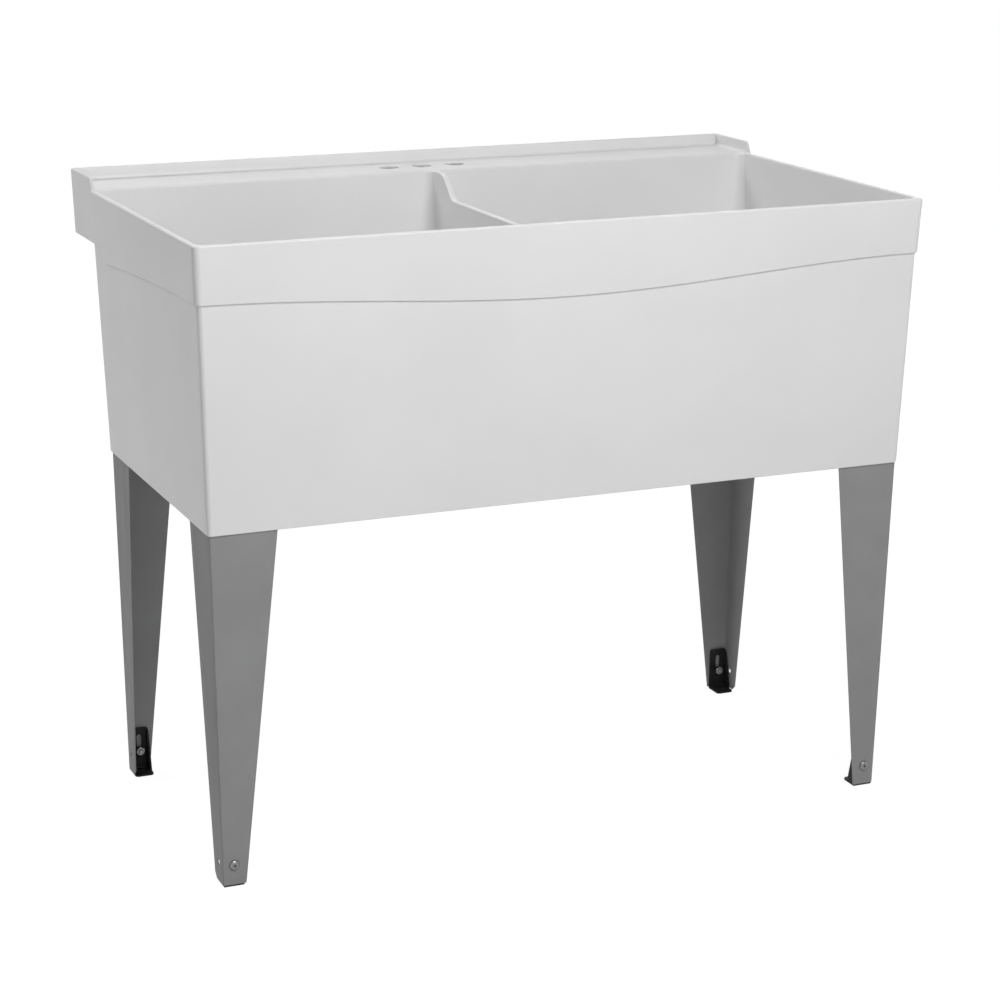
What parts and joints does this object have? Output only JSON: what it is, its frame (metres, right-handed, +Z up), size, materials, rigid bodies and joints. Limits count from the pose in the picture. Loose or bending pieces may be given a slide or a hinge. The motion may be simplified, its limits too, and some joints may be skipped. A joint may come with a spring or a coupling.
{
  "type": "utility laundry sink",
  "caption": "Free-standing twin-bowl laundry tub with a faucet ledge and back lip, on tapered folded-steel legs with slotted levelling feet.",
  "frame": {"origin": "on the floor, below the middle of the tub's width and depth", "axes": "+X to the right along the width, +Y to the back towards the wall, +Z up"},
  "size_m": [1.016, 0.6095, 0.8636],
  "materials": {
    "moulded_white": "smooth moulded white, satin gloss",
    "grey_enamel": "mid-grey enamel on folded sheet steel, satin",
    "black_enamel": "black coated stamped steel, satin",
    "zinc": "bright zinc plating",
    "black_rubber": "plain black rubber",
    "stainless": "stamped stainless sheet",
    "white_plastic": "plain white plastic"
  },
  "bodies": {
    "sink": {"tub": "moulded_white", "leg_front_left": "grey_enamel", "foot_bolt_front_left": "zinc", "foot_washer_front_left": "zinc", "foot_nut_front_left": "zinc", "leg_front_right": "grey_enamel", "foot_bolt_front_right": "zinc", "foot_washer_front_right": "zinc", "foot_nut_front_right": "zinc", "leg_back_left": "grey_enamel", "foot_bolt_back_left": "zinc", "foot_washer_back_left": "zinc", "foot_nut_back_left": "zinc", "leg_back_right": "grey_enamel", "foot_bolt_back_right": "zinc", "foot_washer_back_right": "zinc", "foot_nut_back_right": "zinc", "drain_strainer_left": "stainless", "drain_gasket_left": "black_rubber", "tailpiece_left": "white_plastic", "coupling_nut_left": "white_plastic", "drain_strainer_right": "stainless", "drain_gasket_right": "black_rubber", "tailpiece_right": "white_plastic", "coupling_nut_right": "white_plastic"},
    "foot_front_left": {"foot_front_left": "black_enamel"},
    "foot_front_right": {"foot_front_right": "black_enamel"},
    "foot_back_left": {"foot_back_left": "black_enamel"},
    "foot_back_right": {"foot_back_right": "black_enamel"},
    "stopper_left": {"stopper_left": "black_rubber"},
    "stopper_right": {"stopper_right": "black_rubber"}
  },
  "joints": [
    {"name": "foot_front_left_slide", "type": "slide", "parent": "sink", "child": "foot_front_left", "axis": [0, 0.0286, -0.9996], "range_m": [0, 0.02]},
    {"name": "foot_front_right_slide", "type": "slide", "parent": "sink", "child": "foot_front_right", "axis": [0, 0.0286, -0.9996], "range_m": [0, 0.02]},
    {"name": "foot_back_left_slide", "type": "slide", "parent": "sink", "child": "foot_back_left", "axis": [0, -0.001, -1], "range_m": [0, 0.02]},
    {"name": "foot_back_right_slide", "type": "slide", "parent": "sink", "child": "foot_back_right", "axis": [0, -0.001, -1], "range_m": [0, 0.02]},
    {"name": "stopper_left_lift", "type": "slide", "parent": "sink", "child": "stopper_left", "axis": [0, 0, 1], "range_m": [0, 0.12]},
    {"name": "stopper_right_lift", "type": "slide", "parent": "sink", "child": "stopper_right", "axis": [0, 0, 1], "range_m": [0, 0.12]}
  ]
}
